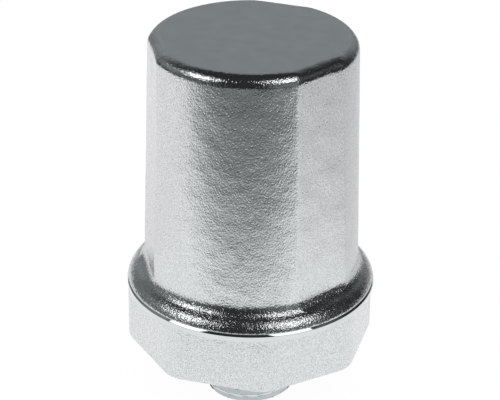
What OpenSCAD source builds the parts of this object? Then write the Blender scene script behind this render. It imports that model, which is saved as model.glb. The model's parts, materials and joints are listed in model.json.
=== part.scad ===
// Water hammer arrestor with a half inch inlet: a hot-stamped brass cap screwed onto an
// octagonal inlet base, holding a spring-loaded piston with two seal rings.
// The part stands on the end of its inlet, with the axis on Z. Sizes are in millimetres.

/* [Inlet] */
// Major diameter of the inlet's pipe thread
thread_d = 20.955; // [20:0.005:27]
// Length of the inlet below the nut
thread_len = 15; // [10:0.5:20]
// Chamfer on the end of the inlet
thread_chamfer = 1; // [0.4:0.1:1.6]
// Width of the run-out groove between thread and nut
runout_w = 2.2; // [2.1:0.1:3]
// Depth of the run-out groove
runout_depth = 1.3; // [0.5:0.1:1.8]
// Bore of the waterway
waterway_d = 15; // [9:0.5:15.5]

/* [Nut] */
// Size across the nut's flats
nut_af = 54.4; // [52:0.1:60]
// Height of the nut, with its collar
nut_h = 15.4; // [10:0.1:24]
// Rounding of the nut's upright corners
nut_corner_r = 7; // [2:0.5:12]
// Diameter of the round collar on top of the nut
collar_d = 57.9; // [57.8:0.1:64]
// Height of the collar
collar_h = 1.8; // [1:0.1:3]
// Chamfer on the collar's upper edge, measured on its radius
collar_chamfer = 0.48; // [0.2:0.02:0.7]
// Slope of that chamfer
collar_slope_deg = 50; // [40:1:54]

/* [Boss above the nut] */
// Step on the radius from the cap's bore out to the thread that joins base and cap
joint_step = 1.5; // [1:0.1:2]
// Length of that thread on the base
joint_thread_len = 8.5; // [6:0.5:11]
// Length of the plain nose above the thread
nose_len = 6.9; // [5.5:0.1:10]
// Metal left between the nose's ring groove and the pocket under the piston
nose_wall = 2.4; // [1.5:0.1:6]
// Metal left between the nut's underside and the pocket, at the inlet thread
pocket_floor = 5.5; // [3:0.5:9]

/* [Cap] */
// Height of the cap above the nut
cap_h = 59.9; // [56:0.1:75]
// Diameter of the cap's wall, carried down to the nut
cap_foot_d = 50.6; // [44:0.1:56]
// Thickness of the cap's wall at the nut
cap_wall = 5.3; // [4.8:0.1:6.5]
// Draft of the stamped wall
cap_draft_deg = 1.55; // [0.5:0.05:1.8]
// Rounding of the top rim
rim_r = 2.9; // [1:0.1:4]
// Depth of the three clamping flats below the round wall
flat_depth = 1.05; // [0.5:0.05:1.5]
// Turn of the first flat about the axis, where the joint thread tightens
cap_turn = 87.4; // [0:0.1:120]
// Thickness of the cap's end wall
end_wall = 4.5; // [3:0.1:6]

/* [Flange] */
// Reach of the flange beyond the cap's wall
flange_w = 3.45; // [3:0.05:5.5]
// Height of the flange's upright edge
flange_land = 0.25; // [0.2:0.05:0.6]
// Chamfer on the flange's lower edge
flange_chamfer = 0.1; // [0.05:0.05:0.15]
// Rounding of the flange above its upright edge
flange_r = 5; // [4:0.1:6]
// Lean of that rounding where it leaves the upright edge
flange_lean_deg = 23; // [16:1:28]
// Fillet between the flange and the wall
foot_r = 3.4; // [2.6:0.1:4]

/* [Piston] */
// Length of the piston
piston_len = 22; // [18:0.5:25]
// Travel of the piston against the spring
piston_travel = 14; // [8:0.5:15]
// Thickness of the piston's floor
piston_floor = 4.5; // [3.5:0.5:6.5]
// Thickness of the piston's skirt
skirt_wall = 4.5; // [3.5:0.1:5.5]
// Chamfer on the piston's edges
piston_chamfer = 1; // [0.4:0.1:1.8]
// Height of the lower ring groove's middle above the piston's foot
ring_low = 6; // [4:0.5:8]
// Height of the upper ring groove's middle above the piston's foot
ring_high = 16; // [12:0.5:16]

/* [Seal rings] */
// Depth of the ring grooves
groove_depth = 2.05; // [1.5:0.05:2.3]
// Width of the ring grooves
groove_w = 3; // [2.6:0.1:3.4]
// Side play of a ring in its groove
ring_play = 0.3; // [0.1:0.05:0.5]
// Land above the groove on the base's nose
nose_land = 1.2; // [0.8:0.1:2]

/* [Spring] */
// Diameter of the spring's wire
wire_d = 4; // [3:0.1:4.2]
// Active turns between the closed ends
active_turns = 2.5; // [2:0.25:2.75]
// Clearance of the spring inside the skirt and around its guides
spring_gap = 0.5; // [0.3:0.1:1]
// Height of the spring's guide on the piston and on the cap
guide_h = 3; // [1.5:0.5:3.5]

/* [Fits] */
// Running clearance of the piston on its radius
piston_gap = 0.1; // [0.02:0.01:0.1]
// Clearance of a pressed ring on its radius
ring_gap = 0.05; // [0.02:0.01:0.08]
// Clearance of the joint thread and of the nose on the radius
joint_gap = 0.05; // [0.02:0.01:0.1]
// Room left above the end of the joint thread
thread_room = 0.5; // [0.2:0.1:1]
// Lead-in chamfer of the bores
lead_in = 0.8; // [0.4:0.1:1.2]

/* [Hidden] */
$fn = 96;

chrome = [0.80, 0.81, 0.82];
rubber = [0.10, 0.10, 0.11];
acetal = [0.93, 0.92, 0.88];
steel = [0.62, 0.64, 0.66];

// Heights of the main faces
nut_z = thread_len;
joint_z = nut_z + nut_h;
stop_z = joint_z + joint_thread_len + nose_len;
top_z = joint_z + cap_h;
ceiling_z = top_z - end_wall;

// Radii that several pieces share
bore_r = cap_foot_d / 2 - cap_wall;
joint_thread_r = bore_r + joint_step;
flange_out_r = cap_foot_d / 2 + flange_w;
nose_r = bore_r - joint_gap;
piston_r = bore_r - piston_gap;
pocket_r = nose_r - groove_depth - nose_wall;
waterway_r = waterway_d / 2;
skirt_in_r = piston_r - skirt_wall;
coil_r = skirt_in_r - spring_gap - wire_d / 2;
guide_r = coil_r - wire_d / 2 - spring_gap;
nose_groove_z = stop_z - nose_land - groove_w / 2;

// Nut
flats = 8;
nut_r = nut_af / 2;

// Cap: the drafted wall and the arcs that run into it, in the plane of radius and height
clamp_flats = 3;
draft_tan = tan(cap_draft_deg);
draft_cos = cos(cap_draft_deg);
edge_mid = [flange_out_r, flange_land] - flange_r * [cos(flange_lean_deg), sin(flange_lean_deg)];
foot_reach = cap_foot_d / 2 + foot_r / draft_cos - edge_mid.x;
arc_sum = foot_r + flange_r;
foot_slope = foot_reach * draft_tan + edge_mid.y;
foot_room = arc_sum ^ 2 - foot_reach ^ 2 - edge_mid.y ^ 2;
foot_z = (foot_slope + sqrt(foot_slope ^ 2 + (1 + draft_tan ^ 2) * foot_room)) / (1 + draft_tan ^ 2);
flat_foot_rise = 0.1;
arc_steps = 8;

// Spring
closed_turns = 1;
closed_pitch = 1.05 * wire_d;
tip_rise = 0.3 * wire_d;
spring_z = stop_z + piston_floor;
spring_len = ceiling_z - spring_z;
active_pitch = (spring_len - 2 * (tip_rise + closed_turns * closed_pitch)) / active_turns;
wire_sides = 10;
rings_per_turn = 18;
spring_turns = active_turns + 2 * closed_turns;
spring_rings = ceil(spring_turns * rings_per_turn);

overshoot = 1;

function wall_r(z, inset) = cap_foot_d / 2 - inset - z * draft_tan;
function draft_normal() = [draft_cos, draft_cos * draft_tan];
function rim_mid(inset) = [wall_r(cap_h - rim_r, inset) - rim_r / draft_cos, cap_h - rim_r];
function foot_mid(inset, r) = [wall_r(foot_z, inset) + r / draft_cos, foot_z];
function foot_meet() = edge_mid + (foot_mid(0, foot_r) - edge_mid) * flange_r / arc_sum;

// Points along an arc about a middle
function arc(middle, r, from, to) = [for (k = [0 : arc_steps])
    let (a = from + (to - from) * k / arc_steps) middle + r * [cos(a), sin(a)]];

// Circle at a point of the plane of radius and height
module disc(middle, r) {
    translate(middle) circle(r);
}

// Eight-sided outline with rounded corners
module nut_outline() {
    inner_r = nut_r - nut_corner_r;
    half = inner_r * tan(180 / flats);
    for (k = [0 : flats - 1]) {
        rotate(k * 360 / flats) {
            translate([0, -half]) square([nut_r, 2 * half]);
            translate([inner_r, half]) circle(nut_corner_r);
        }
    }
}

// Half section of the cap's round outside, from its underside up
module cap_section() {
    foot = foot_mid(0, foot_r);
    rim = rim_mid(0);
    difference() {
        union() {
            polygon([
                [0, 0],
                [flange_out_r - flange_chamfer, 0],
                [flange_out_r, flange_chamfer],
                [flange_out_r, flange_land],
                foot_meet(),
                foot - foot_r * draft_normal(),
                rim + rim_r * draft_normal(),
                [rim.x, cap_h],
                [0, cap_h]
            ]);
            intersection() {
                disc(edge_mid, flange_r);
                translate([edge_mid.x, flange_land]) square(flange_r);
            }
            intersection() {
                disc(rim, rim_r);
                translate([rim.x, rim.y]) square(rim_r);
            }
        }
        disc(foot, foot_r);
    }
}

// Section of the metal missing at one clamping flat, with the wall's rim, draft and foot
module flat_section() {
    floor_z = foot_meet().y + flat_foot_rise;
    fillet = foot_z - floor_z;
    polygon(concat(
        [[2 * bore_r, floor_z], [2 * bore_r, cap_h + overshoot], [rim_mid(flat_depth).x, cap_h + overshoot]],
        arc(rim_mid(flat_depth), rim_r, 90, cap_draft_deg),
        arc(foot_mid(flat_depth, fillet), fillet, 180 + cap_draft_deg, 270)
    ));
}

// Joint thread, bore, shoulder that stops the piston and spring guide inside the cap, from its underside up
module cap_hollow() {
    thread_end = joint_thread_len + thread_room;
    travel_end = joint_thread_len + nose_len + piston_len + piston_travel;
    ceiling = cap_h - end_wall;
    polygon([
        [0, -overshoot],
        [joint_thread_r + lead_in, -overshoot],
        [joint_thread_r + lead_in, 0],
        [joint_thread_r, lead_in],
        [joint_thread_r, thread_end],
        [bore_r + lead_in / 2, thread_end],
        [bore_r, thread_end + lead_in],
        [bore_r, travel_end],
        [skirt_in_r, travel_end],
        [skirt_in_r, ceiling],
        [guide_r, ceiling],
        [guide_r, ceiling - guide_h],
        [0, ceiling - guide_h]
    ]);
}

module cap() {
    color(chrome) translate([0, 0, joint_z]) difference() {
        rotate_extrude() cap_section();
        for (k = [0 : clamp_flats - 1]) {
            rotate([0, 0, cap_turn + k * 360 / clamp_flats]) rotate([90, 0, 0])
                linear_extrude(2 * bore_r, center = true) flat_section();
        }
        rotate_extrude() cap_hollow();
    }
}

// Ring groove cut into a round piece, about a middle height
module ring_groove(r, z) {
    translate([0, 0, z - groove_w / 2]) difference() {
        cylinder(r = r + overshoot, h = groove_w);
        translate([0, 0, -overshoot]) cylinder(r = r - groove_depth, h = groove_w + 2 * overshoot);
    }
}

// Seal ring as it lies pressed between a groove's floor and the bore
module seal_ring(groove_floor_r, z) {
    inner = groove_floor_r + ring_gap;
    outer = bore_r - ring_gap;
    end_r = (outer - inner) / 2;
    straight = groove_w - 2 * ring_play - 2 * end_r;
    translate([0, 0, z]) rotate_extrude() translate([inner + end_r, 0]) {
        square([2 * end_r, straight], center = true);
        for (side = [-1, 1]) {
            translate([0, side * straight / 2]) circle(end_r);
        }
    }
}

// Turned outside of the inlet, the collar and the boss, with the nut's core between them
module base_section() {
    thread_r = thread_d / 2;
    groove_r = thread_r - runout_depth;
    joint_r = joint_thread_r - joint_gap;
    collar_r = collar_d / 2;
    polygon([
        [0, 0],
        [thread_r - thread_chamfer, 0],
        [thread_r, thread_chamfer],
        [thread_r, nut_z - runout_w - runout_depth],
        [groove_r, nut_z - runout_w],
        [groove_r, nut_z],
        [joint_r, nut_z],
        [joint_r, joint_z - collar_h],
        [collar_r, joint_z - collar_h],
        [collar_r, joint_z - collar_chamfer * tan(collar_slope_deg)],
        [collar_r - collar_chamfer, joint_z],
        [joint_r, joint_z],
        [joint_r, joint_z + joint_thread_len - lead_in],
        [joint_r - lead_in, joint_z + joint_thread_len],
        [nose_r, joint_z + joint_thread_len],
        [nose_r, stop_z - lead_in / 2],
        [nose_r - lead_in / 2, stop_z],
        [0, stop_z]
    ]);
}

// Waterway and the pocket that it opens into under the piston
module base_hollow() {
    pocket_z = nut_z + pocket_floor + pocket_r - thread_d / 2;
    polygon([
        [0, -overshoot],
        [waterway_r + lead_in / 2, -overshoot],
        [waterway_r + lead_in / 2, 0],
        [waterway_r, lead_in / 2],
        [waterway_r, pocket_z - (pocket_r - waterway_r)],
        [pocket_r, pocket_z],
        [pocket_r, stop_z + overshoot],
        [0, stop_z + overshoot]
    ]);
}

module inlet_base() {
    color(chrome) difference() {
        union() {
            translate([0, 0, nut_z]) linear_extrude(nut_h - collar_h) nut_outline();
            rotate_extrude() base_section();
        }
        rotate_extrude() base_hollow();
        ring_groove(nose_r, nose_groove_z);
    }
}

module base_seal() {
    color(rubber) seal_ring(nose_r - groove_depth, nose_groove_z);
}

// Half section of the piston's cup, from its foot up
module piston_section() {
    skirt_lip = piston_chamfer / 2;
    polygon([
        [0, 0],
        [piston_r - piston_chamfer, 0],
        [piston_r, piston_chamfer],
        [piston_r, piston_len - piston_chamfer],
        [piston_r - piston_chamfer, piston_len],
        [skirt_in_r + skirt_lip, piston_len],
        [skirt_in_r, piston_len - skirt_lip],
        [skirt_in_r, piston_floor],
        [guide_r, piston_floor],
        [guide_r, piston_floor + guide_h - skirt_lip],
        [guide_r - skirt_lip, piston_floor + guide_h],
        [0, piston_floor + guide_h]
    ]);
}

module piston() {
    color(acetal) translate([0, 0, stop_z]) difference() {
        rotate_extrude() piston_section();
        ring_groove(piston_r, ring_low);
        ring_groove(piston_r, ring_high);
    }
}

module piston_ring_lower() {
    color(rubber) seal_ring(piston_r - groove_depth, stop_z + ring_low);
}

module piston_ring_upper() {
    color(rubber) seal_ring(piston_r - groove_depth, stop_z + ring_high);
}

// Height of the wire's middle above the spring's foot after a number of turns
function coil_z(t) =
    t < closed_turns ? tip_rise + t * closed_pitch :
    t < closed_turns + active_turns ? tip_rise + closed_turns * closed_pitch + (t - closed_turns) * active_pitch :
    spring_len - tip_rise - (spring_turns - t) * closed_pitch;

// Point on the wire's surface, with the spring's two ends ground flat
function wire_point(t, side) =
    let (r = coil_r + wire_d / 2 * cos(side))
    let (z = coil_z(t) + wire_d / 2 * sin(side))
    [r * cos(360 * t), r * sin(360 * t), min(max(z, 0), spring_len)];

function wire_ring(k) = [for (s = [0 : wire_sides - 1])
    wire_point(k * spring_turns / spring_rings, 360 * s / wire_sides)];

module spring() {
    points = [for (k = [0 : spring_rings]) each wire_ring(k)];
    walls = [for (k = [0 : spring_rings - 1], s = [0 : wire_sides - 1])
        let (next = (s + 1) % wire_sides)
        [k * wire_sides + s, (k + 1) * wire_sides + s, (k + 1) * wire_sides + next, k * wire_sides + next]];
    first_end = [for (s = [0 : wire_sides - 1]) s];
    last_end = [for (s = [wire_sides - 1 : -1 : 0]) spring_rings * wire_sides + s];
    color(steel) translate([0, 0, spring_z]) polyhedron(points, concat([first_end], walls, [last_end]), 4);
}

cap();
inlet_base();
base_seal();
piston();
piston_ring_lower();
piston_ring_upper();
spring();
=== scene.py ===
"""Looks of a chrome-plated water hammer arrestor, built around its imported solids."""

import json
import math

import bpy
import numpy as np
from mathutils import Matrix, Vector, noise


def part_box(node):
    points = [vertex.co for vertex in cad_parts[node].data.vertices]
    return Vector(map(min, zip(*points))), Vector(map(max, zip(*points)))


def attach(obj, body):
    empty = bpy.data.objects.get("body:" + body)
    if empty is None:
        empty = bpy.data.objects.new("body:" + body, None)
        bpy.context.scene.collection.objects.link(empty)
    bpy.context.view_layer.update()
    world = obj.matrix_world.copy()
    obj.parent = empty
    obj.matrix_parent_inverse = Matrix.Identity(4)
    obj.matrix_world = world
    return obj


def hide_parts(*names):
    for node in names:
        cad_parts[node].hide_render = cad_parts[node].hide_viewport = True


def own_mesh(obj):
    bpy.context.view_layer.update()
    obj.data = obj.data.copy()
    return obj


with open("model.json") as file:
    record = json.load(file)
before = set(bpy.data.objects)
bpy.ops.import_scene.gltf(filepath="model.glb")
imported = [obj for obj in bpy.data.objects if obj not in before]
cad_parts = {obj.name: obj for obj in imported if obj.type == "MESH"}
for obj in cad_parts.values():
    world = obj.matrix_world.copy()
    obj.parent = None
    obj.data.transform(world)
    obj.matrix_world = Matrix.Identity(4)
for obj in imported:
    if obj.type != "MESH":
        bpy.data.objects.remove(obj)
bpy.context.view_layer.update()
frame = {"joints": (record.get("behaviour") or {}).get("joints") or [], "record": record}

MM = 0.001

# Finishes, in the order of the metal pieces' material slots
STAMPED, TURNED, STRUCK = range(3)


def heights(node):
    """Lowest and highest point of a solid, in millimetres."""
    low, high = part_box(node)
    return low.z / MM, high.z / MM


# Heights and travel that the frame gives, in millimetres
JOINT_Z, TOP_Z = heights("cap")
STOP_Z, SKIRT_Z = heights("piston")
SPRING_Z, CEILING_Z = heights("spring")
TRAVEL = frame["joints"][0]["range_m"][1] / MM

# Sizes of the cap, in millimetres and degrees
CAP_H = TOP_Z - JOINT_Z
CAP_FOOT_R = 25.3
CAP_DRAFT = math.tan(math.radians(1.55))
RIM_R = 2.9
FLAT_DEPTH = 1.05
FLAT_TURN = 87.4
FLAT_COUNT = 3
FLAT_EDGE_SOFTNESS = 0.2
FLAT_EDGE_TURNS = (13.5, 20.5)
FLAT_FOOT_RISE = 0.1
BORE_R = 20.0
BORE_LEAD = 0.8
STOP_ROOM = 0.04
THREAD_ROOM = 0.05
THREAD_RELIEF = 0.5
FLANGE_R = 28.75
FLANGE_CHAMFER = 0.1
FLANGE_LAND = 0.25
FLANGE_ROUND = 5.0
FLANGE_LEAN = 23
FOOT_ROUND = 3.4

# Unevenness of the stamped cap as (depth, spacing, seed), in millimetres
FLAT_WAVE = (0.16, 5.0, 1.0)
WALL_SWELL = (0.035, 9.0, 3.0)
WALL_RIPPLE = (0.02, 3.5, 7.0)
TOP_WAVE = (0.03, 11.0, 5.0)
TOP_WAVE_END_R = 21.0
TOP_WAVE_FADE = 4.0

# Sizes of the base, in millimetres
INLET_R = 10.4775
INLET_LEN = 15.0
INLET_CHAMFER = 1.0
INLET_PITCH = 1.814
INLET_THREAD_DEPTH = 1.16
THREAD_STEEPNESS = 1.35
RUNOUT_W = 2.2
RUNOUT_DEPTH = 1.3
RUNOUT_R = INLET_R - RUNOUT_DEPTH
RUNOUT_CORNER = ((0, 0.8), (0, 0.3), (0, 0.1), (0.1, 0.02), (0.3, 0))
WATERWAY_R = 7.5
WATERWAY_CHAMFER = 0.4
WATERWAY_EDGE = 0.5
NUT_R = 27.2
NUT_FLATS = 8
NUT_CORNER_R = 7.0
NUT_EDGE_R = 0.7
NUT_FACE_SHARE = 0.75
NUT_TOP_GAP = 0.05
COLLAR_R = 28.95
COLLAR_H = 1.8
COLLAR_Z = JOINT_Z - COLLAR_H
COLLAR_CHAMFER = 0.48
COLLAR_SLOPE = math.tan(math.radians(50))
COLLAR_EDGE_R = 0.06
COLLAR_FACE_EDGE = 0.5
COLLAR_INNER_GAP = 0.01
BOSS_R = 21.45
BOSS_PITCH = 1.5
BOSS_THREAD_DEPTH = 0.9
BOSS_LEN = 8.5
BOSS_CHAMFER = 0.8
BOSS_Z = JOINT_Z + BOSS_LEN
NOSE_R = 19.95
NOSE_CHAMFER = 0.4
NOSE_LAND = 1.2
POCKET_R = 15.5
POCKET_FLOOR = 5.5
BORED_EDGE_R = 0.15

# Sizes of the piston, rings and spring, in millimetres
PISTON_R = 19.9
PISTON_CHAMFER = 1.0
PISTON_EDGE_R = 0.2
PISTON_POLE_R = 0.5
SKIRT_R = 15.4
GUIDE_R = 10.4
GUIDE_H = 3.0
GROOVE_DEPTH = 2.05
GROOVE_W = 3.0
NOSE_GROOVE_Z = STOP_Z - NOSE_LAND - GROOVE_W / 2
PISTON_GROOVE_RISES = (6.0, 16.0)
PISTON_GROOVES = [STOP_Z + rise for rise in PISTON_GROOVE_RISES]
RING_SPAN = 1.95
RING_H = 2.4
RING_ROOM = 0.05
WIRE_R = 2.0
COIL_R = 12.9
ACTIVE_TURNS = 2.5
CLOSED_TURNS = 1.0
CLOSED_PITCH = 4.2
TIP_RISE = 1.2
PITCH_EASE = 0.12

# Fineness of the meshes
SHARP_EDGE = 35
CORNER_STEPS = 3
CORNER_SHARE = 0.45
TURN_STEPS = 160
FLAT_STEPS = 14
FLAT_EDGE_STEPS = 28
ROUND_STEPS = 34
FLANGE_STEPS = 12
FOOT_STEPS = 16
WALL_STEPS = 34
RIM_STEPS = 14
TOP_STEPS = 14
TOP_SHARES = (0.04, 0.985)
BASE_STEPS = 320
INLET_STEPS = 118
NUT_EDGE_STEPS = 7
NUT_STEPS = 9
BOSS_STEPS = 58
RING_STEPS = 14
WIRE_SIDES = 24
SPRING_STEPS = 320


# Meshes
def new_object(name, points, faces):
    """Smooth-shaded mesh object from points in millimetres, whose sharp edges stay sharp."""
    mesh = bpy.data.meshes.new(name)
    mesh.from_pydata((np.asarray(points) * MM).tolist(), [], faces)
    mesh.polygons.foreach_set("use_smooth", np.ones(len(mesh.polygons), bool))
    piece = bpy.data.objects.new(name, mesh)
    bpy.context.scene.collection.objects.link(piece)
    weighting = piece.modifiers.new("weighted_normals", "WEIGHTED_NORMAL")
    weighting.keep_sharp = True
    mesh.set_sharp_from_angle(angle=math.radians(SHARP_EDGE))
    return piece


def skin(name, rings, looped, finishes=None):
    """Mesh through rings of equal length, which close on themselves or end in two poles.

    Each ring's finish holds for the band of faces from it to the next ring.
    """
    count, length = len(rings), len(rings[0])
    finishes = finishes or [0] * count
    points = [np.asarray(one) for one in rings]
    faces, slots = [], []
    for k in range(count if looped else count - 1):
        here, there = k * length, (k + 1) % count * length
        for j in range(length):
            after = (j + 1) % length
            faces.append((here + j, there + j, there + after, here + after))
            slots.append(finishes[k])
    if not looped:
        last = (count - 1) * length
        first_pole, last_pole = count * length, count * length + 1
        points += [points[0].mean(0)[None], points[-1].mean(0)[None]]
        faces += [(first_pole, j, (j + 1) % length) for j in range(length)]
        faces += [(last_pole, last + (j + 1) % length, last + j) for j in range(length)]
        slots += [finishes[0]] * length + [finishes[-1]] * length
    piece = new_object(name, np.concatenate(points), faces)
    piece.data.polygons.foreach_set("material_index", slots)
    return piece


def full_turn(count):
    """Angles of a full turn, in radians."""
    return np.linspace(0, 2 * math.pi, count, endpoint=False)


def ring(angles, radius, height):
    """Points about the axis. Radius and height are numbers, or one value for each angle."""
    ones = np.ones_like(angles)
    return np.stack([radius * np.cos(angles), radius * np.sin(angles), height * ones], 1)


def arc(middle, radius, start, end, steps):
    """Points (radius, height) along an arc, with angles in degrees."""
    turn = np.radians(np.linspace(start, end, steps + 1))
    return [(middle[0] + radius * math.cos(a), middle[1] + radius * math.sin(a)) for a in turn]


def softened(profile, radius):
    """Copy of an open (radius, height) outline with each corner rounded."""
    points = [Vector(p) for p in profile]
    rounded = [tuple(points[0])]
    for before, corner, after in zip(points, points[1:], points[2:]):
        back, on = before - corner, after - corner
        cut = min(radius, back.length * CORNER_SHARE, on.length * CORNER_SHARE)
        first, last = corner + back.normalized() * cut, corner + on.normalized() * cut
        for step in range(CORNER_STEPS + 1):
            t = step / CORNER_STEPS
            rounded.append(tuple(first * (1 - t) ** 2 + corner * (2 * t * (1 - t)) + last * t**2))
    return rounded + [tuple(points[-1])]


def lathe(name, profile, looped):
    """Turned piece from a (radius, height) outline."""
    angles = full_turn(TURN_STEPS)
    return skin(name, [ring(angles, r, z) for r, z in profile], looped)


def soft_min(a, b, softness):
    """Smaller of two values, with the corner between them rounded off."""
    near = np.maximum(softness - np.abs(a - b), 0)
    return np.minimum(a, b) - near**2 / (4 * softness)


def wave(point, depth, spacing, seed):
    """Smooth unevenness at a point, between -depth and depth."""
    x, y, z = point
    return depth * noise.noise(Vector((x / spacing + seed, y / spacing, z / spacing)))


# Cap
def rim_middle(inset):
    """Middle of the rim's arc, above the cap's underside."""
    height = CAP_H - RIM_R
    return CAP_FOOT_R - inset - height * CAP_DRAFT - RIM_R, height


def edge_middle():
    """Middle of the flange's rounding, above the cap's underside."""
    lean = math.radians(FLANGE_LEAN)
    return FLANGE_R - FLANGE_ROUND * math.cos(lean), FLANGE_LAND - FLANGE_ROUND * math.sin(lean)


def foot_middle():
    """Middle of the foot's fillet, which touches the wall and the flange's rounding."""
    edge_x, edge_z = edge_middle()
    reach = CAP_FOOT_R + FOOT_ROUND - edge_x
    slope = reach * CAP_DRAFT + edge_z
    room = (FOOT_ROUND + FLANGE_ROUND) ** 2 - reach**2 - edge_z**2
    grade = 1 + CAP_DRAFT**2
    z = (slope + math.sqrt(slope**2 + grade * room)) / grade
    return CAP_FOOT_R - z * CAP_DRAFT + FOOT_ROUND, z


EDGE_MID = edge_middle()
FOOT_MID = foot_middle()
FOOT_TURN = math.degrees(math.atan2(FOOT_MID[1] - EDGE_MID[1], FOOT_MID[0] - EDGE_MID[0]))
FLAT_FLOOR = EDGE_MID[1] + FLANGE_ROUND * math.sin(math.radians(FOOT_TURN)) + FLAT_FOOT_RISE


def flat_reach(z):
    """Distance of a clamping flat from the axis at a height above the cap's underside.

    Below the flat's foot it lies past the flange, where it cuts nothing.
    """
    rim_x, rim_z = rim_middle(FLAT_DEPTH)
    foot_z = FOOT_MID[1]
    fillet = foot_z - FLAT_FLOOR
    if z <= FLAT_FLOOR:
        return 2 * FLANGE_R
    if z < foot_z:
        middle = CAP_FOOT_R - FLAT_DEPTH - foot_z * CAP_DRAFT + fillet
        return middle - math.sqrt(max(fillet**2 - (z - foot_z) ** 2, 0))
    if z > rim_z:
        return rim_x + math.sqrt(max(RIM_R**2 - (z - rim_z) ** 2, 0))
    return CAP_FOOT_R - FLAT_DEPTH - z * CAP_DRAFT


def cap_angles():
    """Angles about the cap, close together where a clamping flat meets the round wall."""
    edge_start, edge_end = FLAT_EDGE_TURNS
    sector = 180 / FLAT_COUNT
    half = np.concatenate([
        np.linspace(0, edge_start, FLAT_STEPS, endpoint=False),
        np.linspace(edge_start, edge_end, FLAT_EDGE_STEPS, endpoint=False),
        np.linspace(edge_end, sector, ROUND_STEPS, endpoint=False),
    ])
    one = np.sort(np.concatenate([half, [sector], 2 * sector - half[1:]]))
    turns = [FLAT_TURN + k * 2 * sector + one for k in range(FLAT_COUNT)]
    return np.radians(np.concatenate(turns))


def cap_outside():
    """Round outline of the cap's outside from the underside up, as (radius, height)."""
    draft = math.degrees(math.atan(CAP_DRAFT))
    land = [(FLANGE_R - FLANGE_CHAMFER, 0), (FLANGE_R, FLANGE_CHAMFER)]
    flange = arc(EDGE_MID, FLANGE_ROUND, FLANGE_LEAN, FOOT_TURN, FLANGE_STEPS)
    fillet = arc(FOOT_MID, FOOT_ROUND, 180 + FOOT_TURN, 180 + draft, FOOT_STEPS)
    rim = arc(rim_middle(0), RIM_R, draft, 90, RIM_STEPS)
    wall_z = np.linspace(fillet[-1][1], rim[0][1], WALL_STEPS)[1:-1]
    wall = [(CAP_FOOT_R - z * CAP_DRAFT, z) for z in wall_z]
    return land + flange + fillet[1:] + wall + rim


def cap_hollow():
    """Outline of the cap's inside from the underside up, as (radius, height)."""
    thread_r = BOSS_R + THREAD_ROOM
    thread_end = BOSS_LEN + THREAD_RELIEF
    shoulder = SKIRT_Z + TRAVEL + STOP_ROOM - JOINT_Z
    ceiling = CEILING_Z - JOINT_Z
    return softened([
        (thread_r + BORE_LEAD, 0),
        (thread_r, BORE_LEAD),
        (thread_r, thread_end),
        (BORE_R + BORE_LEAD / 2, thread_end),
        (BORE_R, thread_end + BORE_LEAD),
        (BORE_R, shoulder),
        (SKIRT_R, shoulder),
        (SKIRT_R, ceiling),
        (GUIDE_R, ceiling),
        (GUIDE_R, ceiling - GUIDE_H),
        (GUIDE_R / 2, ceiling - GUIDE_H),
    ], BORED_EDGE_R)


def forged(points, unevenness):
    """Ring of points pushed in and out a little, as a hot-stamped skin is."""
    moved = np.array(points)
    for p in moved:
        p[:2] *= 1 + wave(p, *unevenness) / math.hypot(p[0], p[1])
    return moved


def cap_top(edge):
    """Rings of the slightly uneven end face, from near its middle to the ring at its edge."""
    rings = [edge * (share, share, 1) for share in np.linspace(*TOP_SHARES, TOP_STEPS)]
    for points in rings:
        for p in points:
            from_end = TOP_WAVE_END_R - math.hypot(p[0], p[1])
            p[2] += wave(p, *TOP_WAVE) * min(1.0, from_end / TOP_WAVE_FADE)
    return rings


def cap_rings():
    """Rings of the cap from its end's middle, down the outside and up the inside, with their finishes."""
    angles = cap_angles()
    sector = 2 * math.pi / FLAT_COUNT
    from_flat = (angles - math.radians(FLAT_TURN) + sector / 2) % sector - sector / 2
    outside, kinds = [], []
    for r, z in cap_outside():
        flat = flat_reach(z) + np.array([wave(p, *FLAT_WAVE) for p in ring(angles, r, z)])
        reach = soft_min(np.full_like(angles, r), flat / np.cos(from_flat), FLAT_EDGE_SOFTNESS)
        outside.append(forged(forged(ring(angles, reach, z), WALL_SWELL), WALL_RIPPLE))
        kinds.append(STAMPED if z > FLANGE_CHAMFER else TURNED)
    top = cap_top(outside[-1])
    inside = [ring(angles, r, z) for r, z in cap_hollow()]
    rings = top + outside[::-1] + inside
    finishes = [STRUCK] * (len(top) + 1) + kinds[::-1][1:] + [TURNED] * len(inside)
    return [points + (0, 0, JOINT_Z) for points in rings], finishes


# Base
def nut_outline(angles):
    """Radius of the nut's rounded octagon at each angle."""
    pitch = 2 * math.pi / NUT_FLATS
    from_flat = np.abs((angles + pitch / 2) % pitch - pitch / 2)
    from_corner = pitch / 2 - from_flat
    middle = (NUT_R - NUT_CORNER_R) / math.cos(pitch / 2)
    across = middle * np.sin(from_corner)
    corner = middle * np.cos(from_corner) + np.sqrt(np.maximum(NUT_CORNER_R**2 - across**2, 0))
    half = (NUT_R - NUT_CORNER_R) * math.tan(pitch / 2)
    return np.where(np.tan(from_flat) * NUT_R < half, NUT_R / np.cos(from_flat), corner)


def thread_wave(angles, z, pitch):
    """Height of a right-hand thread's flank between root 0 and crest 1."""
    phase = (z / pitch - angles / (2 * math.pi)) % 1
    flank = THREAD_STEEPNESS * (1 - np.abs(2 * phase - 1)) - (THREAD_STEEPNESS - 1) / 2
    flank = np.clip(flank, 0, 1)
    return flank * flank * (3 - 2 * flank)


def threaded(angles, z, crest, depth, pitch, limit):
    """Radius of a thread that is also cut back to a limit, as by a chamfer or a run-out."""
    return np.minimum(crest - depth * (1 - thread_wave(angles, z, pitch)), limit)


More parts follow.
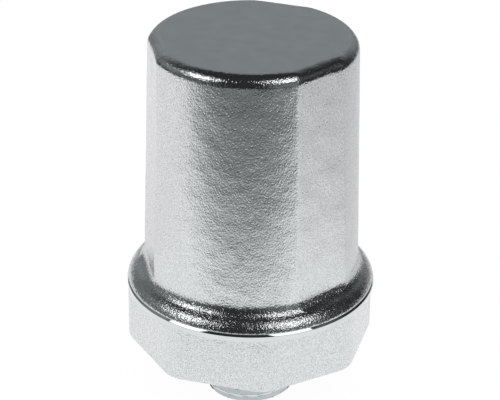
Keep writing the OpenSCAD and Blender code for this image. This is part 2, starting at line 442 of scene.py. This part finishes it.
def inlet_rings(angles):
    """Radius and height of the inlet's rings, from its lower end up to the nut's face."""
    groove_z = INLET_LEN - RUNOUT_W
    rings = [(WATERWAY_R + WATERWAY_EDGE, 0)]
    for z in np.linspace(0, groove_z, INLET_STEPS):
        limit = min(INLET_R - INLET_CHAMFER + z, RUNOUT_R + groove_z - z, INLET_R)
        rings.append((threaded(angles, z, INLET_R, INLET_THREAD_DEPTH, INLET_PITCH, limit), z))
    for outwards, below_nut in RUNOUT_CORNER:
        rings.append((RUNOUT_R + outwards, INLET_LEN - below_nut))
    rings.append((NUT_R * NUT_FACE_SHARE, INLET_LEN))
    return rings


def nut_rings(angles):
    """Radius and height of the nut's rings, from its rounded lower edge up to the collar."""
    nut = nut_outline(angles)
    rings = []
    for a in np.radians(np.linspace(0, 90, NUT_EDGE_STEPS)):
        inset, rise = NUT_EDGE_R * (1 - math.sin(a)), NUT_EDGE_R * (1 - math.cos(a))
        rings.append((nut - inset, INLET_LEN + rise))
    for z in np.linspace(INLET_LEN + 2 * NUT_EDGE_R, COLLAR_Z - NUT_TOP_GAP, NUT_STEPS):
        rings.append((nut, z))
    return rings


def collar_rings(angles):
    """Radius and height of the collar's rings, from the nut out and in again to the boss."""
    collar = softened([
        (COLLAR_R - COLLAR_FACE_EDGE, COLLAR_Z),
        (COLLAR_R, COLLAR_Z),
        (COLLAR_R, JOINT_Z - COLLAR_CHAMFER * COLLAR_SLOPE),
        (COLLAR_R - COLLAR_CHAMFER, JOINT_Z),
        (BOSS_R + COLLAR_FACE_EDGE, JOINT_Z),
    ], COLLAR_EDGE_R)
    return [(nut_outline(angles) + COLLAR_INNER_GAP, COLLAR_Z)] + collar[1:]


def boss_rings(angles):
    """Radius and height of the threaded boss's rings, from the collar up."""
    rings = []
    for z in np.linspace(JOINT_Z, BOSS_Z, BOSS_STEPS):
        limit = min(BOSS_R, BOSS_R - BOSS_CHAMFER + BOSS_Z - z)
        rings.append((threaded(angles, z, BOSS_R, BOSS_THREAD_DEPTH, BOSS_PITCH, limit), z))
    return rings


def nose_rings():
    """Radius and height of the rings up the nose, into the pocket and down the waterway."""
    groove_r = NOSE_R - GROOVE_DEPTH
    groove_low, groove_high = NOSE_GROOVE_Z - GROOVE_W / 2, NOSE_GROOVE_Z + GROOVE_W / 2
    pocket_z = INLET_LEN + POCKET_FLOOR + POCKET_R - INLET_R
    outline = softened([
        (BOSS_R - BOSS_CHAMFER, BOSS_Z),
        (NOSE_R, BOSS_Z),
        (NOSE_R, groove_low),
        (groove_r, groove_low),
        (groove_r, groove_high),
        (NOSE_R, groove_high),
        (NOSE_R, STOP_Z - NOSE_CHAMFER),
        (NOSE_R - NOSE_CHAMFER, STOP_Z),
        (POCKET_R, STOP_Z),
        (POCKET_R, pocket_z),
        (WATERWAY_R, pocket_z - (POCKET_R - WATERWAY_R)),
        (WATERWAY_R, WATERWAY_CHAMFER),
        (WATERWAY_R + WATERWAY_CHAMFER, 0),
    ], BORED_EDGE_R)
    return outline[1:]


def base_rings():
    """Rings of the base from the inlet's end up the outside and down the waterway, with their finishes."""
    angles = full_turn(BASE_STEPS)
    stretches = (
        (inlet_rings(angles), TURNED),
        (nut_rings(angles), STAMPED),
        (collar_rings(angles), TURNED),
        (boss_rings(angles), TURNED),
        (nose_rings(), TURNED),
    )
    rings, finishes = [], []
    for stretch, finish in stretches:
        rings += [ring(angles, r, z) for r, z in stretch]
        finishes += [finish] * len(stretch)
    return rings, finishes


# Pieces inside
def piston_profile():
    """Outline of the piston's cup from the middle of its foot to the middle of its floor."""
    chamfer, groove_r = PISTON_CHAMFER, PISTON_R - GROOVE_DEPTH
    grooves = []
    for z in PISTON_GROOVES:
        low, high = z - GROOVE_W / 2, z + GROOVE_W / 2
        grooves += [(PISTON_R, low), (groove_r, low), (groove_r, high), (PISTON_R, high)]
    return softened([
        (PISTON_POLE_R, STOP_Z),
        (PISTON_R - chamfer, STOP_Z),
        (PISTON_R, STOP_Z + chamfer),
        *grooves,
        (PISTON_R, SKIRT_Z - chamfer),
        (PISTON_R - chamfer, SKIRT_Z),
        (SKIRT_R + chamfer / 2, SKIRT_Z),
        (SKIRT_R, SKIRT_Z - chamfer / 2),
        (SKIRT_R, SPRING_Z),
        (GUIDE_R, SPRING_Z),
        (GUIDE_R, SPRING_Z + GUIDE_H - chamfer / 2),
        (GUIDE_R - chamfer / 2, SPRING_Z + GUIDE_H),
        (PISTON_POLE_R, SPRING_Z + GUIDE_H),
    ], PISTON_EDGE_R)


def seal_profile(groove_floor, z):
    """Outline of a pressed seal ring about a middle height."""
    half = RING_SPAN / 2
    middle = groove_floor + RING_ROOM + half
    lift = RING_H / 2 - half
    upper = arc((middle, z + lift), half, 0, 180, RING_STEPS)
    return upper + arc((middle, z - lift), half, 180, 360, RING_STEPS)


def spring_rings():
    """Rings along the spring's wire from its foot to its head, with both ends ground flat."""
    length = CEILING_Z - SPRING_Z
    turns = ACTIVE_TURNS + 2 * CLOSED_TURNS
    closed_rise = TIP_RISE + CLOSED_TURNS * CLOSED_PITCH
    knots = (0, CLOSED_TURNS, CLOSED_TURNS + ACTIVE_TURNS, turns)
    levels = (TIP_RISE, closed_rise, length - closed_rise, length - TIP_RISE)
    sides = full_turn(WIRE_SIDES)
    rings = []
    for t in np.linspace(0, turns, SPRING_STEPS):
        nearby = np.clip([t - PITCH_EASE, t, t + PITCH_EASE], 0, turns)
        rise = np.interp(nearby, knots, levels).mean()
        r = COIL_R + WIRE_R * np.cos(sides)
        z = SPRING_Z + np.clip(rise + WIRE_R * np.sin(sides), 0, length)
        a = 2 * math.pi * t
        rings.append(np.stack([r * math.cos(a), r * math.sin(a), z], 1))
    return rings


# Materials
NOISE_RANGE = (0.3, 0.7)
FOOT_GRAIN_START = JOINT_Z + 7.5
FOOT_GRAIN_FULL = JOINT_Z + 5
FOOT_DULLNESS = 0.06


class NodeTree:
    """Shader nodes of a material or world under construction."""

    def __init__(self, owner):
        owner.use_nodes = True
        self.nodes = owner.node_tree.nodes
        self.links = owner.node_tree.links

    def node(self, kind, inputs, **settings):
        """New node with its settings, and its inputs set to values or joined to other nodes' outputs."""
        made = self.nodes.new(kind)
        for key, value in settings.items():
            setattr(made, key, value)
        for key, value in inputs.items():
            if isinstance(value, bpy.types.NodeSocket):
                self.links.new(value, made.inputs[key])
            else:
                made.inputs[key].default_value = value
        return made

    def combine(self, operation, *values):
        """Result of an operation on numbers or outputs."""
        return self.node("ShaderNodeMath", dict(enumerate(values)), operation=operation).outputs[0]

    def ramp(self, value, start, end, low, high, shape="LINEAR"):
        """Value taken from one range to another and kept inside it."""
        inputs = {"Value": value, "From Min": start, "From Max": end, "To Min": low, "To Max": high}
        return self.node("ShaderNodeMapRange", inputs, interpolation_type=shape).outputs["Result"]

    def seen(self):
        """1 for what the camera sees, straight on or in the metal, and 0 for light on its way."""
        rays = self.node("ShaderNodeLightPath", {}).outputs
        mirrored = self.combine("MAXIMUM", rays["Is Camera Ray"], rays["Is Glossy Ray"])
        return self.combine("MAXIMUM", mirrored, rays["Is Transmission Ray"])


class Finish(NodeTree):
    """Procedural material under construction, with its shader and its object coordinates."""

    def __init__(self, name, **values):
        self.material = bpy.data.materials.new(name)
        super().__init__(self.material)
        self.shader = self.nodes["Principled BSDF"]
        self.place = self.node("ShaderNodeTexCoord", {}).outputs["Object"]
        self.bumped = None
        for socket, value in values.items():
            self.shader.inputs[socket.replace("_", " ")].default_value = value

    def stretched(self, x, y, z):
        """Coordinates scaled along each axis."""
        return self.node("ShaderNodeMapping", {"Vector": self.place, "Scale": (x, y, z)}).outputs["Vector"]

    def grain(self, size, detail=2.0, place=None):
        """Noise whose grains have a size in millimetres."""
        inputs = {"Vector": place or self.place, "Scale": 1 / (size * MM), "Detail": detail}
        return self.node("ShaderNodeTexNoise", inputs).outputs["Fac"]

    def pits(self, spacing, share):
        """Height from 0 in the middle of scattered pits to 1 outside them, a spacing apart in millimetres."""
        inputs = {"Vector": self.place, "Scale": 1 / (spacing * MM), "Randomness": 1.0}
        distance = self.node("ShaderNodeTexVoronoi", inputs).outputs["Distance"]
        return self.ramp(distance, 0.0, share, 0.0, 1.0, "SMOOTHSTEP")

    def spread(self, value, low, high):
        """Noise stretched from its middle range to a range of values."""
        return self.ramp(value, *NOISE_RANGE, low, high)

    def below(self, start, end):
        """Value that rises from 0 to 1 between two heights in millimetres, on the way down."""
        height = self.node("ShaderNodeSeparateXYZ", {"Vector": self.place}).outputs["Z"]
        return self.ramp(height, start * MM, end * MM, 0.0, 1.0, "SMOOTHSTEP")

    def bump(self, height, depth, strength=1.0):
        """Adds relief of a depth in millimetres on top of what is there."""
        inputs = {"Height": height, "Distance": depth * MM, "Strength": strength}
        if self.bumped:
            inputs["Normal"] = self.bumped
        self.bumped = self.node("ShaderNodeBump", inputs).outputs["Normal"]
        self.links.new(self.bumped, self.shader.inputs["Normal"])

    def roughness(self, value):
        """Joins a value to the shader's roughness."""
        self.links.new(value, self.shader.inputs["Roughness"])

    def shade(self, value, dark, light):
        """Colours the shader between two shades."""
        inputs = {"Factor": value, "A": (*dark, 1), "B": (*light, 1)}
        mix = self.node("ShaderNodeMix", inputs, data_type="RGBA")
        self.links.new(mix.outputs["Result"], self.shader.inputs["Base Color"])


def stamped_chrome():
    """Plating over a hot-stamped skin: bright, with a pebbled grain that is rougher from the foot down."""
    finish = Finish("stamped_chrome", Metallic=1.0)
    speckle = finish.spread(finish.grain(size=0.27, detail=1.0), 0, 1)
    finish.shade(speckle, dark=(0.533, 0.553, 0.559), light=(0.823, 0.842, 0.849))
    foot = finish.below(FOOT_GRAIN_START, FOOT_GRAIN_FULL)
    polish = finish.spread(finish.grain(size=2.5), low=0.09, high=0.15)
    finish.roughness(finish.combine("MULTIPLY_ADD", foot, FOOT_DULLNESS, polish))
    finish.bump(finish.grain(size=6), depth=0.2)
    finish.bump(finish.grain(size=2.2), depth=0.045)
    finish.bump(finish.grain(size=0.345, detail=1.0, place=finish.stretched(1, 1, 0.72)), depth=0.073)
    finish.bump(finish.grain(size=0.42, detail=1.0), depth=0.07, strength=foot)
    finish.bump(finish.pits(spacing=0.65, share=0.32), depth=0.032)
    return finish.material


def struck_chrome():
    """Plating over the smooth struck end face."""
    finish = Finish("struck_chrome", Metallic=1.0)
    tone = finish.spread(finish.grain(size=5), 0, 1)
    finish.shade(tone, dark=(0.634, 0.676, 0.688), light=(0.678, 0.714, 0.726))
    finish.roughness(finish.spread(finish.grain(size=3), low=0.2, high=0.27))
    finish.bump(finish.grain(size=1.5), depth=0.008)
    finish.bump(finish.grain(size=0.4), depth=0.008)
    return finish.material


def turned_chrome():
    """Plating over turned faces, with fine lines about the axis."""
    finish = Finish("turned_chrome", Metallic=1.0)
    tone = finish.spread(finish.grain(size=6), 0, 1)
    finish.shade(tone, dark=(0.67, 0.7, 0.71), light=(0.715, 0.745, 0.755))
    finish.roughness(finish.spread(finish.grain(size=3), low=0.05, high=0.09))
    finish.bump(finish.grain(size=0.25, place=finish.stretched(0.05, 0.05, 1)), depth=0.004)
    return finish.material


def seal_rubber():
    """Moulded black rubber."""
    finish = Finish("seal_rubber", Specular_IOR_Level=0.35)
    finish.shade(finish.grain(size=1.5), dark=(0.014, 0.014, 0.015), light=(0.03, 0.03, 0.03))
    finish.roughness(finish.spread(finish.grain(size=0.8), low=0.5, high=0.65))
    finish.bump(finish.grain(size=0.15, detail=3.0), depth=0.006)
    return finish.material


def piston_acetal():
    """Turned natural acetal, with faint lines about the axis."""
    finish = Finish("piston_acetal", Subsurface_Weight=0.1, Subsurface_Scale=0.002)
    finish.shade(finish.grain(size=6), dark=(0.74, 0.72, 0.66), light=(0.82, 0.81, 0.76))
    finish.roughness(finish.spread(finish.grain(size=1.2), low=0.36, high=0.46))
    finish.bump(finish.grain(size=0.3, place=finish.stretched(0.05, 0.05, 1)), depth=0.006)
    return finish.material


def spring_steel():
    """Drawn stainless wire."""
    finish = Finish("spring_steel", Metallic=1.0)
    finish.shade(finish.grain(size=4), dark=(0.42, 0.42, 0.43), light=(0.55, 0.55, 0.55))
    finish.roughness(finish.spread(finish.grain(size=1.0), low=0.28, high=0.4))
    finish.bump(finish.grain(size=0.3, detail=3.0), depth=0.005)
    return finish.material


# Pieces of the object
def place(piece, node, slot, *materials):
    """Gives a piece its materials and stands it for a solid, on that solid's body."""
    for one in materials:
        piece.data.materials.append(one)
    body = next(name for name, nodes in frame["record"]["behaviour"]["bodies"].items() if node in nodes)
    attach(piece, body)
    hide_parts(node)
    return piece


def build_metal():
    """Makes the cap and the base, which share their plating."""
    chromes = [stamped_chrome(), turned_chrome(), struck_chrome()]
    rings, finishes = cap_rings()
    cap = skin("cap_shell", rings, looped=False, finishes=finishes)
    place(cap, "cap", "chromed_brass", *chromes)
    # The base's rings are turned about, so each band takes its finish from the ring that is now its second
    rings, finishes = base_rings()
    base = skin("inlet_base_body", rings[::-1], looped=True, finishes=finishes[-2::-1] + finishes[-1:])
    place(base, "inlet_base", "chromed_brass", *chromes)


def build_inside():
    """Makes the piston, the seal rings and the spring."""
    cup = lathe("piston_cup", piston_profile()[::-1], looped=False)
    place(cup, "piston", "acetal", piston_acetal())
    rubber = seal_rubber()
    seals = {
        "base_seal": (NOSE_R, NOSE_GROOVE_Z),
        "piston_ring_lower": (PISTON_R, PISTON_GROOVES[0]),
        "piston_ring_upper": (PISTON_R, PISTON_GROOVES[1]),
    }
    for node, (r, z) in seals.items():
        seal = lathe(node + "_moulding", seal_profile(r - GROOVE_DEPTH, z)[::-1], looped=True)
        place(seal, node, "seal_rubber", rubber)
    coil = place(skin("spring_coil", spring_rings(), looped=False), "spring", "spring_steel", spring_steel())
    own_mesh(coil)


# Camera, at the photograph's viewing angle
IMAGE_W = 500
FOCAL_PX = 1885
SENSOR_MM = 36.0
CAMERA_CLIP = (0.01, 20)
CAMERA_AZIMUTH = 15.8
CAMERA_ELEVATION = 26.36
CAMERA_DISTANCE = 432 * MM
CAMERA_ORBIT_Z = 57.5 * MM
AIM_Z = 49.3 * MM
AIM_SIDE = -0.3 * MM
CAMERA_ROLL = 0.62


def towards(azimuth, elevation):
    """Unit direction from the axis to a viewer, where azimuth 0 stands on the -Y side."""
    a, e = math.radians(azimuth), math.radians(elevation)
    return Vector((math.sin(a) * math.cos(e), -math.cos(a) * math.cos(e), math.sin(e)))


def add_camera():
    """Camera that sees the part as the photograph does."""
    data = bpy.data.cameras.new("camera")
    data.sensor_width = SENSOR_MM
    data.lens = FOCAL_PX / IMAGE_W * SENSOR_MM
    data.clip_start, data.clip_end = CAMERA_CLIP
    camera = bpy.data.objects.new("camera", data)
    bpy.context.scene.collection.objects.link(camera)
    spot = Vector((0, 0, CAMERA_ORBIT_Z)) + towards(CAMERA_AZIMUTH, CAMERA_ELEVATION) * CAMERA_DISTANCE
    aim = Vector((0, 0, AIM_Z)) + towards(CAMERA_AZIMUTH + 90, 0) * AIM_SIDE
    turn = (aim - spot).to_track_quat("-Z", "Y").to_matrix().to_4x4()
    roll = Matrix.Rotation(math.radians(CAMERA_ROLL), 4, "Z")
    camera.matrix_world = Matrix.Translation(spot) @ turn @ roll
    bpy.context.scene.camera = camera


# Studio, in metres, with turns in degrees from the viewer's side
TABLE_R = 0.42
TABLE_SIDES = 96
TABLE_GLOW = 0.92
TABLE_GLOW_LEVEL = 1.015
DRAPE_R = 1.2
DRAPE_SPAN = (-0.02, 1.6)
DRAPE_SIDES = 64
DRAPE_GLOW = 0.03
BACKDROP_R = 1.1
BACKDROP_H = 1.25
BACKDROP_SIDES = 40
BACKDROP_TURN = 4
BACKDROP_FADE = (-1.05, -0.5)
BACKDROP_GLOW = 0.3
FLAG_FAR = 0.4
FLAG_LAYER = 0.0004
FRONT_FLAG_NEAR = 0.075
SIDE_FLAG_NEAR = 0.055
PANEL_REACH = 1.0
PANEL_HALF = 0.45
PANEL_SPAN = (0.02, 0.45)
LAMP_DISTANCE = 0.8
LAMP_AIM_Z = 0.05
WORLD_LIGHT = 0.9
WORLD_GLOW = 1.0
CARD_TINT = (0.95, 1.0, 1.02, 1)
SIDE_TINT = (1.0, 0.985, 1.0, 1)


def stage_mesh(name, points, faces, material):
    """Stage object from points in metres."""
    mesh = bpy.data.meshes.new(name)
    mesh.from_pydata([tuple(p) for p in points], [], faces)
    mesh.materials.append(material)
    made = bpy.data.objects.new(name, mesh)
    bpy.context.scene.collection.objects.link(made)
    return made


def floor_material():
    """White tabletop that shows the part's shadow faintly."""
    finish = Finish("white_table", Roughness=0.9, Specular_IOR_Level=0.1)
    finish.shade(finish.grain(size=40), dark=(0.93, 0.93, 0.93), light=(0.95, 0.95, 0.95))
    share = finish.combine("MULTIPLY", finish.seen(), TABLE_GLOW)
    glow = finish.node("ShaderNodeEmission", {"Strength": TABLE_GLOW_LEVEL}).outputs[0]
    mix = finish.node("ShaderNodeMixShader", {"Fac": share, 1: finish.shader.outputs[0], 2: glow})
    finish.links.new(mix.outputs[0], finish.nodes["Material Output"].inputs["Surface"])
    return finish.material


def add_floor():
    """Round white table that the part stands on."""
    edge = [(TABLE_R * math.cos(a), TABLE_R * math.sin(a), 0) for a in full_turn(TABLE_SIDES)]
    stage_mesh("table", edge, [tuple(range(len(edge)))], floor_material())


class Glow(NodeTree):
    """Glowing material of a card, under construction."""

    def __init__(self, name, tint=CARD_TINT):
        self.material = bpy.data.materials.new(name)
        super().__init__(self.material)
        self.nodes.clear()
        self.tint = tint

    def way(self):
        """Distances along the card's own axes."""
        place = self.node("ShaderNodeTexCoord", {}).outputs["Object"]
        return self.node("ShaderNodeSeparateXYZ", {"Vector": place}).outputs

    def emit(self, level):
        """Light of a level, which is a number or an output."""
        return self.node("ShaderNodeEmission", {"Color": self.tint, "Strength": level}).outputs[0]

    def finish(self, shader):
        """Material that shows a shader."""
        self.node("ShaderNodeOutputMaterial", {"Surface": shader})
        return self.material


def even_glow(name, level):
    """Glow of one level."""
    glow = Glow(name)
    return glow.finish(glow.emit(level))


def fading_glow(name, start, end, rear, front):
    """Glow that runs from one level to another between two distances along the card's own X axis."""
    glow = Glow(name)
    return glow.finish(glow.emit(glow.ramp(glow.way()["X"], start, end, rear, front)))


def clear_glow(name, start, end, level, curve=1.0, bow=0.0, tint=CARD_TINT):
    """Glow that begins as nothing, so that what lies behind shows, and is solid at the end of the way.

    The bow takes the lines of equal glow away from the part at the card's sides.
    """
    glow = Glow(name, tint)
    way = glow.way()
    square = glow.combine("MULTIPLY", way["Y"], way["Y"])
    bowed = glow.combine("MULTIPLY_ADD", square, -bow, way["X"])
    clear = glow.combine("POWER", glow.ramp(bowed, start, end, 1.0, 0.0), curve)
    nothing = glow.node("ShaderNodeBsdfTransparent", {}).outputs[0]
    mix = glow.node("ShaderNodeMixShader", {"Fac": clear, 1: glow.emit(level), 2: nothing})
    return glow.finish(mix.outputs[0])


def add_card(points, faces, turn, material):
    """Card seen only by the metal, named as its material, with its X axis turned from the viewer's side."""
    card = stage_mesh(material.name, points, faces, material)
    card.rotation_euler.z = math.radians(CAMERA_AZIMUTH + turn - 90)
    card.visible_camera = False
    card.visible_diffuse = False
    card.visible_transmission = False
    card.visible_shadow = False


def add_drape():
    """Dark drape round the table, under it and over it, with a grey backdrop behind the part."""
    around = full_turn(DRAPE_SIDES)
    points = [(DRAPE_R * math.cos(a), DRAPE_R * math.sin(a), z) for z in DRAPE_SPAN for a in around]
    lower, upper = range(DRAPE_SIDES), range(DRAPE_SIDES, 2 * DRAPE_SIDES)
    walls = [(lower[k - 1], lower[k], upper[k], upper[k - 1]) for k in lower]
    ends = [tuple(lower), tuple(upper)]
    add_card(points, walls + ends, turn=0, material=even_glow("drape", DRAPE_GLOW))
    behind = np.radians(np.linspace(90, 270, BACKDROP_SIDES + 1))
    span = (0, BACKDROP_H)
    points = [(BACKDROP_R * math.cos(a), BACKDROP_R * math.sin(a), z) for z in span for a in behind]
    row = BACKDROP_SIDES + 1
    strip = [(k, k + 1, row + k + 1, row + k) for k in range(BACKDROP_SIDES)]
    glow = fading_glow("backdrop", *BACKDROP_FADE, rear=BACKDROP_GLOW, front=DRAPE_GLOW)
    add_card(points, strip, BACKDROP_TURN, glow)


def add_flag(name, turn, near, layer, **glow):
    """Clear card that lies over the table on one side, in a layer of its own, and paints shade on the table
    as the metal sees it.
    """
    z = layer * FLAG_LAYER
    corners = [(near, -FLAG_FAR, z), (FLAG_FAR, -FLAG_FAR, z), (FLAG_FAR, FLAG_FAR, z), (near, FLAG_FAR, z)]
    add_card(corners, [(0, 1, 2, 3)], turn, clear_glow(name, **glow))


def add_painted_table_shade():
    """Painted shade on the table, seen only in the metal: a dark card in front, and lighter ones beside and
    behind, thickening away from the part.
    """
    # These cards are painted shade: they darken the table in the metal's reflections, more so away from the
    # part
    add_flag("front_painted_shade", turn=-5, near=FRONT_FLAG_NEAR, layer=4,
             start=0.078, end=0.25, level=0.2, curve=3.2, bow=0.45)
    add_flag("right_painted_shade", turn=100, near=SIDE_FLAG_NEAR, layer=2,
             start=0.058, end=0.22, level=0.68, tint=SIDE_TINT)
    add_flag("left_painted_shade", turn=-110, near=FRONT_FLAG_NEAR, layer=3,
             start=0.076, end=0.12, level=0.95, tint=SIDE_TINT)
    add_flag("right_rear_painted_shade", turn=140, near=SIDE_FLAG_NEAR, layer=1,
             start=0.055, end=0.078, level=0.82, tint=SIDE_TINT)
    add_flag("left_rear_painted_shade", turn=-150, near=SIDE_FLAG_NEAR, layer=0.5,
             start=0.055, end=0.078, level=0.87, tint=SIDE_TINT)


def add_panel(name, turn, level):
    """Low grey panel that faces the part."""
    low, high = PANEL_SPAN
    x, half = PANEL_REACH, PANEL_HALF
    corners = [(x, -half, low), (x, half, low), (x, half, high), (x, -half, high)]
    add_card(corners, [(0, 1, 2, 3)], turn, even_glow(name, level))


def add_wing(name, turn, side, half, span, rear, front):
    """Panel beside the part that fades from its front end to its rear end."""
    low, high = span
    y = side * PANEL_REACH
    corners = [(-half, y, low), (half, y, low), (half, y, high), (-half, y, high)]
    add_card(corners, [(0, 1, 2, 3)], turn, fading_glow(name, -half, half, rear, front))


def add_panels():
    """Low grey panels that stand under the softboxes, and fading wings that carry them on to the rear."""
    add_panel("left_panel", turn=-62, level=0.13)
    add_panel("right_panel", turn=41, level=0.2)
    add_wing("left_wing", turn=-14, side=-1, half=0.4, span=(0.14, 0.75), rear=0.18, front=0.26)
    add_wing("right_wing", turn=-12, side=1, half=0.27, span=(0.38, 0.8), rear=0.06, front=0.15)


def add_softbox(name, turn, elevation, width, height, power):
    """Soft lamp that faces the part."""
    data = bpy.data.lights.new(name, "AREA")
    data.shape = "RECTANGLE"
    data.size, data.size_y = width, height
    data.energy = power
    lamp = bpy.data.objects.new(name, data)
    bpy.context.scene.collection.objects.link(lamp)
    way = towards(CAMERA_AZIMUTH + turn, elevation)
    spot = Vector((0, 0, LAMP_AIM_Z)) + way * LAMP_DISTANCE
    lamp.matrix_world = Matrix.Translation(spot) @ way.to_track_quat("Z", "Y").to_matrix().to_4x4()


def add_softboxes():
    """Soft lamps at the viewer's left and right, which draw the bright streaks on rim and foot."""
    add_softbox("left_softbox", turn=-64, elevation=38.5, width=0.37, height=0.3, power=0.78)
    add_softbox("right_softbox", turn=43, elevation=45, width=0.42, height=0.37, power=0.82)


def add_world():
    """White surroundings behind the part, which also give the table most of its light."""
    world = bpy.data.worlds.new("white_studio")
    tree = NodeTree(world)
    background = tree.nodes["Background"]
    background.inputs["Color"].default_value = (1, 1, 1, 1)
    level = tree.ramp(tree.seen(), 0.0, 1.0, WORLD_LIGHT, WORLD_GLOW)
    tree.links.new(level, background.inputs["Strength"])
    bpy.context.scene.world = world


add_camera()
build_metal()
build_inside()
add_floor()
add_drape()
add_painted_table_shade()
add_panels()
add_softboxes()
add_world()
bpy.context.scene.view_settings.view_transform = "Standard"
